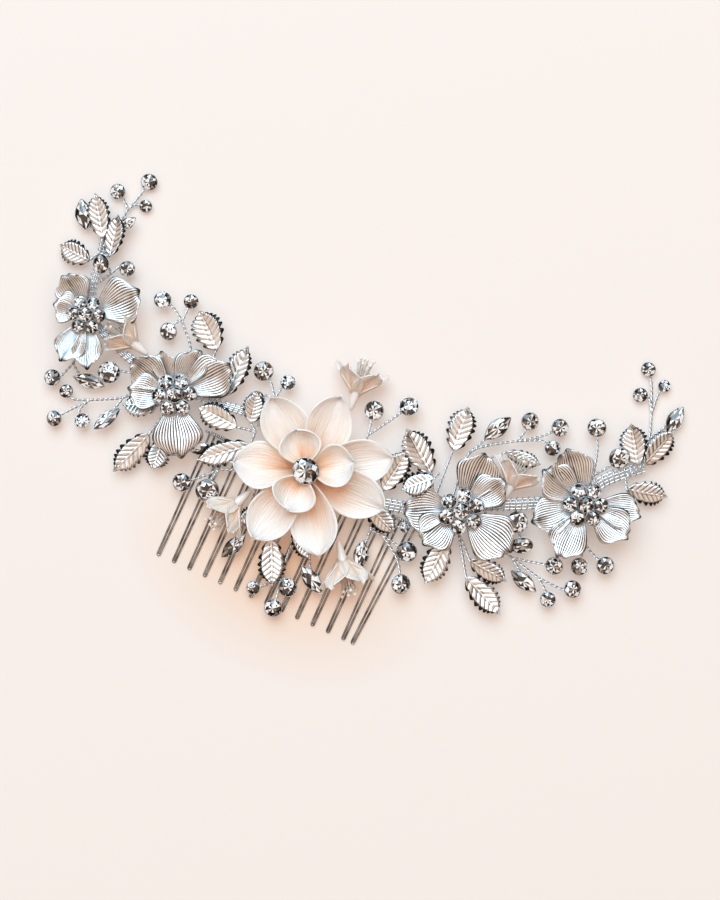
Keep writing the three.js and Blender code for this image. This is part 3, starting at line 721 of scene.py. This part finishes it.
# centre, then each petal's heading, reach, width, cup and curl
SILVER_FLOWERS = {
    "left_outer": ((-81.8, 16.8), [
        (141, 13.7, 11, 1.4, 0.5), (-176, 10.3, 10, 1.2, -0.5), (46, 17.2, 15, 0.6, 0.2),
        (-93, 15.6, 9.5, 1.6, 0.8), (-64, 16.0, 9, 1.6, 1.0)]),
    "left_inner": ((-48, 6), [
        (165, 16.2, 11.5, 1.6, 1.3), (-161, 13.8, 11, 1.2, -0.4), (134, 13.5, 8, 1.0, 0.4),
        (86, 15.2, 10, 1.5, 0.4), (51, 18.7, 14, 1.2, 0.6), (-62, 18.5, 15, 1.2, -1.4)]),
    "right_inner": ((44.1, 9.9), [
        (88, 18.5, 14, 1.2, 0.5), (60, 15.8, 11, 1.4, 0.6), (-16, 19.0, 15.5, 1.0, 0.2),
        (-118, 15, 13, 1.4, 0.3), (-158, 17.0, 14, 1.2, -0.4)]),
    "right_outer": ((77, 27), [
        (134, 17.4, 13, 1.3, 0.7), (164, 16.1, 12, 1.2, -0.4), (-138, 16.6, 12, 1.3, 0.4),
        (-92, 17.6, 12, 1.5, 0.8), (-12, 16.0, 12, 1.2, 0.5), (15, 16.6, 11, 1.3, 0.2)]),
}
for number, (side, ((x, y), petals)) in enumerate(SILVER_FLOWERS.items()):
    bm = bmesh.new()
    for i, (heading, reach, width, cup, curl) in enumerate(petals):
        out = math.radians(heading)
        base = Vector((x + 0.9 * math.cos(out), y + 0.9 * math.sin(out), FLOWER_LEVEL + 0.35 * (i % 2)))
        form = silver_petal(reach - 1.2, width, cup, curl, 10 * number + i)
        plate(bm, 26, 120, form, seat(base, heading, 4), PETAL_SHEET)
    mesh_piece("silver_petals_" + side, bm, [stamped.material],
               ["silver_flower_" + side])

# middle, stone size, ring radius, how far the ring is turned
CLUSTERS = {"left_outer": (4.0, 4.1, 20), "left_inner": (4.5, 4.6, 28), "right_inner": (4.7, 4.8, 45),
            "right_outer": (4.6, 4.7, 22)}
for number, (side, (size, radius, turned)) in enumerate(CLUSTERS.items()):
    (x, y), petals = SILVER_FLOWERS[side]
    jitter = random.Random(40 + number)
    level = FLOWER_LEVEL + CLUSTER_LIFT
    stones = [(size * 1.08, Matrix.Translation((x, y, level + 0.9)), None)]
    for k in range(6):
        angle = math.radians(turned + 60 * k)
        rise = level + jitter.uniform(-0.2, 0.3)
        spot_here = (x + radius * math.cos(angle), y + radius * math.sin(angle), rise)
        lean = math.radians(jitter.uniform(6, 16))
        tip = Matrix.Rotation(lean, 4, (-math.sin(angle), math.cos(angle), 0))
        stones.append((size, Matrix.Translation(spot_here) @ tip, None))
    gem_pieces("cluster_" + side, stones, ["stone_cluster_" + side], 3)


# ---------------------------------------------------------------- crystals on twisted wires
# Each crystal hangs on its own pair of fine silver wires, twisted together; the pairs join further down
# and run into the vine. The cups are the same as in the flowers, round or boat-shaped.
def twisted(points, radius=0.24, strand=0.21, pitch=3.0, step=0.26):
    """Two strands wound round each other along a soft path."""
    path = smooth_path(points, step)
    runs = []
    for start in (0.0, math.pi):
        travelled = 0.0
        line = []
        for i, point in enumerate(path):
            along = (path[min(i + 1, len(path) - 1)] - path[max(i - 1, 0)]).normalized()
            side = along.cross(Vector((0, 0, 1))).normalized()
            up = side.cross(along)
            if i:
                travelled += (point - path[i - 1]).length
            angle = start + 2 * math.pi * travelled / pitch
            line.append(point + side * (radius * math.cos(angle)) + up * (radius * math.sin(angle)))
        runs.append((strand, line))
    return runs


def sprig(name, branches):
    """The wires of one sprig as a piece, its stones as another, their cups as a third."""
    runs = []
    stones = []
    tilt = random.Random(name)
    for path, rounds, boats in branches:
        if len(path) > 1:
            runs += twisted(path)
        fork = Vector(path[-1])
        back = (fork - Vector(path[-2])).normalized() * 1.5 if len(path) > 1 else Vector((0, 0, 0))
        for x, y, z, diameter in rounds:
            end = Vector((x, y, z + 0.25 * diameter))
            drift = Vector((tilt.uniform(-1, 1), tilt.uniform(-1, 1), 0.3))
            middle = fork * 0.5 + end * 0.5 + back + drift
            runs += twisted([fork, middle, end])
            lean = Matrix.Rotation(math.radians(tilt.uniform(-13, 13)), 4, "X")
            lean = lean @ Matrix.Rotation(math.radians(tilt.uniform(-13, 13)), 4, "Y")
            spin = Matrix.Rotation(math.radians(tilt.uniform(0, 60)), 4, "Z")
            stones.append((diameter, Matrix.Translation((x, y, z + 0.45 * diameter)) @ lean @ spin, None))
        for x, y, z, heading, length, width in boats:
            end = Vector((x, y, z + 0.25 * width))
            middle = fork * 0.55 + end * 0.45 + back * 0.6
            runs += twisted([fork, middle, end])
            lean = Matrix.Rotation(math.radians(tilt.uniform(-12, 12)), 4, "X")
            turned = Matrix.Rotation(math.radians(heading), 4, "Z")
            stones.append((width * 1.1, Matrix.Translation((x, y, z + 0.5 * width)) @ turned @ lean,
                           length / width / 1.1))
    gem_pieces(name, stones, [name], 6)
    wire_piece(name + "_wires", runs, bright.material, (), 1)


sprig("crystal_sprig_left_tip", [
    ([(-84.5, 40.5, 2.4), (-85, 46, 1.6), (-84.5, 51, 1.2)],
     [(-89.5, 54.5, 0, 4.8), (-82, 61, 0, 5.1), (-80, 54, 0, 3.9)], []),
    ([(-84.7, 43, 2), (-90, 42, 0.9), (-93, 41.5, 0.9)], [],
     [(-95.8, 44, 0.4, -57, 9.8, 4.9), (-82.6, 46.8, 2.6, 58, 6.4, 3.2)])])
sprig("crystal_sprig_left_edge", [
    ([(-83, 27.5, 3.4), (-81, 31, 3.2)], [(-77, 34.5, 2, 4.8)], [(-84.5, 32.5, 4.4, -65, 6.2, 4.6)])])
sprig("crystal_sprig_left_upper", [
    ([(-49, 10.5, 4), (-49.5, 20, 4), (-55.5, 27, 3)],
     [(-63.5, 30.5, 1.6, 5.4), (-55.5, 33.5, 1.6, 4.5), (-58, 22.5, 1.8, 5.4)], [])])
sprig("crystal_sprig_left_lower", [
    ([(-57, 5.8, 4), (-62, -1, 3.8), (-71, -6, 3)],
     [(-78.5, -6.5, 1.5, 4.2), (-78.5, -15.5, 1.2, 4.8), (-70.5, -12.5, 1.4, 4.8)], []),
    ([(-62, -1, 3.8)], [], [(-64, -9, 2, 62, 10.5, 4.2)])])
sprig("crystal_sprig_left_outer", [
    ([(-79, 13, 4.4), (-80, 7, 4), (-80, 2, 3.4)], [(-84, -4.5, 1.5, 5.1)],
     [(-73.5, -1, 1.6, 7, 10, 4.2)])])
sprig("large_crystal_left", [([(-59.5, 6.8, 4.4), (-63, 6.6, 4)], [(-69, 4, 2, 6.9)], [])])
sprig("crystal_sprig_comb_left_low", [
    ([(-19, 2.5, 3.4), (-22, -6, 3.4), (-27, -9, 3.4)],
     [(-35.5, -17, 2.2, 5.7), (-27.5, -16, 2.2, 7.2)], [(-34.5, -5.5, 1.6, 40, 6.5, 3.5)]),
    ([(-20.5, -3, 3.4), (-14.5, -10, 2.8)], [], [(-13.5, -28, 1.6, 68, 10, 4.2)])])
sprig("crystal_sprig_comb_left_top", [
    ([(-14, 8.5, 4.2), (-17, 13, 4.2), (-20.5, 17.5, 3.4)],
     [(-27, 23.5, 2, 6), (-19, 23.5, 2, 4.8), (-25.5, 15, 2, 5)], [])])
sprig("crystal_sprig_comb_top", [
    ([(9, 3, 4.4), (9, 12, 4.4), (9.5, 19, 4)], [(8, 26.5, 2, 6), (17, 32, 2, 6)], [])])
sprig("crystal_sprig_comb_low", [
    ([(0, -4, 3.4), (1.5, -16, 2.9), (3, -29, 2.8)],
     [(-3, -37, 1.2, 4.2), (6.5, -32.5, 1.2, 5.7), (5, -40, 1.2, 5.5)], [])])
sprig("boat_crystal_comb_low", [
    ([(3.5, -5, 3.6), (5, -14, 3.2)], [], [(12, -27.5, 1.6, -30, 10.5, 4.5)])])
sprig("crystal_sprig_comb_right_low", [
    ([(19, -1.5, 3.6), (22, -6, 3.4), (26, -6.5, 3.2)], [(37, -17.5, 1.6, 6), (34.5, -8, 1.6, 6.4)], []),
    ([(22, -6, 3.4)], [(31, -1.5, 2.2, 3.3)], [(22.5, -14.5, 1.6, -73, 9, 4.5)])])
sprig("crystal_sprig_right_upper", [
    ([(40.5, 10.5, 4.4), (39.5, 20, 4.4), (39.5, 27, 4), (44, 31.5, 3.6), (51, 36, 3.4)],
     [(52, 43, 1.6, 5.4), (61, 45, 1.6, 5.4), (61.5, 38.5, 1.6, 4.8)], []),
    ([(39.5, 27, 4)], [], [(44, 37, 2, 64, 10.5, 5)])])
sprig("crystal_sprig_right_edge", [
    ([(76, 32, 4.2), (76, 36, 3.8)], [(71, 49.5, 1.6, 5.7)], []),
    ([(76, 36, 3.8), (79, 40, 3.6)], [(81, 44, 2, 6.6)], [])])
sprig("crystal_sprig_right_tip", [
    ([(87, 45.5, 1.4), (87, 53, 1), (84.5, 60.5, 1)],
     [(78, 72, 0, 4.5), (79, 64, 0, 4.5), (84.5, 69.5, 0, 3.9)], []),
    ([(87, 53, 1)], [], [(91.5, 61.5, 0.3, 84, 9.5, 4.5)])])
sprig("crystal_sprig_right_lower", [
    ([(51, 12.5, 4.2), (55, 6, 4), (64, 3.5, 3.4)], [(76.5, 6.5, 1.6, 5.4)],
     [(70, -1.5, 2, -16, 10, 4.5)]),
    ([(64, 3.5, 3.4), (74, 1.2, 3)], [(79, -3.5, 1.4, 4.8), (84.5, 2.5, 1.6, 5.4)], [])])
sprig("crystal_sprig_right_outer", [
    ([(77, 24.5, 4), (79.5, 18, 3.6)], [(83.5, 9.5, 1.6, 5.4), (90.5, 13, 1.6, 5.4)], [])])
sprig("large_crystal_right", [
    ([(59, 17, 4), (60, 15.5, 3.8)], [(61, 14, 2.2, 6.8)], [(65, 8, 3, 27, 7.2, 4.6)])])


# ---------------------------------------------------------------- stamped leaves on wires
# Small saw-toothed leaves stamped from silver sheet, veined, folded a little along the midrib and curled
# at the rim, each on the end of a wire of the vine.
LEAF_TEETH = 8
LEAF_SHEET = 0.3


def toothed_leaf(length, width, fold, bend, seed):
    """A veined leaf: the columns of the grid sweep forward with the veins, and the rim is saw-toothed."""
    wave = random.Random(seed)
    twist = wave.uniform(-0.10, 0.10)
    curl = [wave.uniform(0.2, 1.0), wave.uniform(0.2, 1.0)]

    def form(u, v):
        half = 0.5 * width * max(0.09, 2.74 * u ** 0.55 * (1 - u))
        tooth = math.sin(math.pi * ((u * LEAF_TEETH) % 1.0) ** 1.7)
        side = abs(v)
        half *= 1 + 0.30 * (tooth - 0.5) * side ** 3
        reach = length * (u + 1.2 * side * u * (1 - u) ** 1.5 + 0.03 * bell_curve(v, 0.6) * u ** 8)
        lobe = abs(math.sin(math.pi * LEAF_TEETH * (u + 0.03)))
        gap = bell_curve(lobe, 0.32)
        hair = groove(32, u + 0.05 * side, 0.2) * (1 - gap)
        roll = max(0.0, (side - 0.74) / 0.26)
        middle = bell_curve(v, 0.07)
        z = fold * width * side * math.sin(math.pi * u) * (1 if v > 0 else 0.8)
        z += bend * length * u * (u - 0.45) + twist * v * width
        z += 0.16 * lobe * (1 - roll) * (1 - middle) + 0.22 * middle
        z -= 0.8 * roll * roll * curl[0 if v > 0 else 1]
        # painted shade between teeth, in veins and on the rim, darker on one side; painted highlight on
        # midrib
        shade_value = 0.80 - 0.42 * gap * side ** 0.5 - 0.22 * hair - 0.40 * bell_curve(side - 0.13, 0.05)
        shade_value += 0.2 * middle - (1.1 if v < 0 else 0.35) * min(1.0, 1.8 * roll) * (0.35 + 0.65 * tooth)
        return (reach, half * v, z, shade_value)
    return form


def leaf_spray(name, root, leaves):
    bm = bmesh.new()
    runs = []
    for i, (base, heading, length, width, pitch) in enumerate(leaves):
        out = math.radians(heading)
        inside = (base[0] + 2.0 * math.cos(out), base[1] + 2.0 * math.sin(out), base[2] + 0.1)
        bend = [(r + b) / 2 for r, b in zip(root, base)]
        runs += twisted([root, bend, base, inside])
        form = toothed_leaf(length, width, 0.10, 0.10, name + str(i))
        plate(bm, 128, 28, form, seat(Vector(base) + Vector((0, 0, 0.4)), heading, pitch), LEAF_SHEET)
    mesh_piece(name + "_leaves", bm, [stamped.material], [name])
    wire_piece(name + "_wires", runs, bright.material, (), 1)


leaf_spray("leaf_spray_left_tip", [-86.5, 35.5, 4.3], [
    ((-87.6, 40, 4), 124, 13, 6.2, 0), ((-83.4, 35.8, 4), 102, 12.3, 5.8, 0),
    ((-88.5, 32, 3.6), 176, 10, 6.5, -12)])
leaf_spray("leaf_left_upper", [-43, 10, 5.4], [((-42.5, 23.5, 4.4), 138, 12.5, 8.5, 0)])
leaf_spray("leaf_left_inner", [-36, 9, 5.5], [((-34.5, 12, 5.2), 89, 16, 6.5, -2)])
leaf_spray("leaf_spray_left_lower", [-47.5, 4.8, 4.4], [
    ((-51.5, 1, 4), -158, 10.5, 6.5, -6), ((-50.5, -8, 3.6), -109, 15, 7, -4),
    ((-46, -8, 3.6), -84, 9, 6.5, 0)])
leaf_spray("leaf_spray_comb_left", [-21.5, 6, 5.6], [
    ((-27.5, 5, 5.6), 177, 12.5, 7, 0), ((-21.5, 1.5, 4.4), -140, 16, 7, 0),
    ((-24, 8, 5.6), 103, 9, 6, 4)])
leaf_spray("leaf_spray_comb_low", [-3, -6, 4.6], [
    ((-4, -21.5, 4), -64, 13.5, 7.5, 0), ((1, -15.5, 4.4), -39, 10, 5.5, 0),
    ((-9.5, -14.5, 4.4), -132, 8, 5.5, 0)])
leaf_spray("leaf_spray_comb_right", [15, 1.5, 5.4], [
    ((17.5, 0.5, 5), -24, 12, 6.5, -4), ((20.5, 6, 4.8), 83, 13.5, 7, 0)])
leaf_spray("leaf_spray_right_upper", [35.5, 9.5, 4.8], [
    ((31.5, 16.5, 4.6), 144, 15, 8, 0), ((34.5, 25.5, 4.4), 95, 13.5, 7.5, 0)])
leaf_spray("leaf_right_over_petal", [33.5, 17.5, 6.6], [((32.5, 15.5, 10.4), -136, 10, 6.5, 0)])
leaf_spray("leaf_spray_right_lower", [46, 4, 4.6], [
    ((44, 0, 4.6), -92, 14, 7.5, -3), ((53, -2.5, 4.6), -5, 12, 6, 0),
    ((54, -7.5, 3.8), -23, 14.5, 7, -4)])
leaf_spray("leaf_spray_right_tip", [85, 39.5, 4.4], [
    ((86.5, 44.5, 4), 123, 12, 7.5, 0), ((88.5, 45.5, 4), 73, 13, 6.5, -4),
    ((87, 36.5, 4.2), 14, 12, 6.5, -8)])
leaf_spray("leaf_behind_right_blossom", [46, 28.5, 3.6], [((49.5, 31.5, 3.4), 5, 10.5, 4.2, 0)])


# ---------------------------------------------------------------- clay bell blossoms
# Small hanging flowers of the same clay: a narrow tube, five thin petals that roll back at the mouth,
# and a tuft of stamens. Each is fixed by the narrow end of its tube, and its low side rests on the table.
BLOSSOM_PETALS = 5
BLOSSOM_CLAY = 0.45
STAMENS = 9


def rolled_petal(length, width, flare, seed):
    """A thin petal that rolls back at its wavy, pointed mouth."""
    wave = random.Random(seed)
    phase = wave.uniform(0, 6.28)
    flare = flare * wave.uniform(0.7, 1.3)

    def form(u, v):
        half = 0.5 * width * max(0.30, math.sin(math.pi * (0.12 + 0.84 * u) ** 1.3)) ** 0.7
        z = flare * u ** 3.0 * length - 0.20 * width * v * v * (1 - 1.5 * u)
        z += 0.35 * math.sin(5 * v + 4 * u + phase) * u - 0.5 * max(0.0, u - 0.8) * length * flare
        # painted shade deepest towards the tube and down the middle, lighter towards the rolled mouth
        shade_value = 0.34 + 0.45 * u + 0.15 * v * v - 0.2 * bell_curve(v, 0.12)
        return (length * (u + 0.10 * u * bell_curve(v, 0.3)), half * v, z, shade_value)
    return form


def blossom(name, base, heading, length, mouth, pitch, flare, node):
    placed = seat(Vector(base), heading, pitch)
    bm = bmesh.new()
    relief = bm.verts.layers.float.new("relief")
    profile = [bm.verts.new((x * length, 0, r)) for x, r in
               ((0, 0.35), (0.05, 0.9), (0.25, 1.25), (0.42, 1.9), (0.52, 2.2), (0.50, 1.8), (0.34, 0.6),
                (0.32, 0.0))]
    edges = [bm.edges.new(pair) for pair in zip(profile, profile[1:])]
    bmesh.ops.spin(bm, geom=profile + edges, axis=(1, 0, 0), cent=(0, 0, 0), steps=20, angle=2 * math.pi,
                   use_merge=True)
    bmesh.ops.remove_doubles(bm, verts=bm.verts, dist=0.001)
    bmesh.ops.recalc_face_normals(bm, faces=bm.faces)
    for face in bm.faces:
        face.smooth = True
    for vert in bm.verts:
        vert[relief] = 0.85
    bm.transform(placed)
    squash = Matrix.Diagonal((1, 1, 0.72, 1))
    for k in range(BLOSSOM_PETALS):
        turned = Matrix.Rotation(math.radians(360 / BLOSSOM_PETALS * (k + 0.5)), 4, "X")
        outwards = Matrix.Translation((0.30 * length, 0, 1.2))
        outwards = outwards @ Matrix.Rotation(math.radians(-30), 4, "Y")
        form = rolled_petal(0.70 * length, 1.45 * mouth, flare, name + str(k))
        plate(bm, 18, 16, form, placed @ squash @ turned @ outwards, BLOSSOM_CLAY)
    runs = []
    for k in range(STAMENS):
        angle = 2 * math.pi * k / STAMENS
        spread = 1.1 + 0.8 * (k % 3)
        out = (0.98 + 0.09 * (k % 2)) * length
        tip = placed @ Vector((out, spread * math.cos(angle), spread * math.sin(angle)))
        root = placed @ Vector((0.40 * length, 0.3 * math.cos(angle), 0.3 * math.sin(angle)))
        runs.append((0.2, [root, root.lerp(tip, 0.5), tip]))
        bead = bmesh.ops.create_icosphere(bm, subdivisions=2, radius=0.55, matrix=Matrix.Translation(tip))
        for vert in bead["verts"]:
            vert[relief] = 0.8
            for face in vert.link_faces:
                face.smooth = True
    # petals that reach down to the table lie flat on it
    for vert in bm.verts:
        vert.co.z = max(vert.co.z, 0.0)
    mesh_piece("clay_blossom_" + name, bm, [clay.material], [node], 1)
    wire_piece("stamens_" + name, runs, clay.material, (), 1)


blossom("left_wing", (-60.5, 13.5, 5.6), 165, 14, 5.2, 3, 0.18, "bell_blossom_left_wing")
blossom("comb_left", (-15.5, -10.5, 4.8), -114, 15, 5.6, 3, 0.18, "bell_blossom_comb_left")
blossom("comb_low", (14.5, -13.5, 4.6), -53, 15.5, 5.8, 2, 0.18, "bell_blossom_comb_low")
blossom("top", (1.5, 23.5, 4.6), 97, 15, 5.8, 4, 0.20, "bell_blossom_top")
blossom("right_wing", (54, 17.5, 6.2), 84, 14, 5.6, 3, 0.20, "bell_blossom_right_wing")
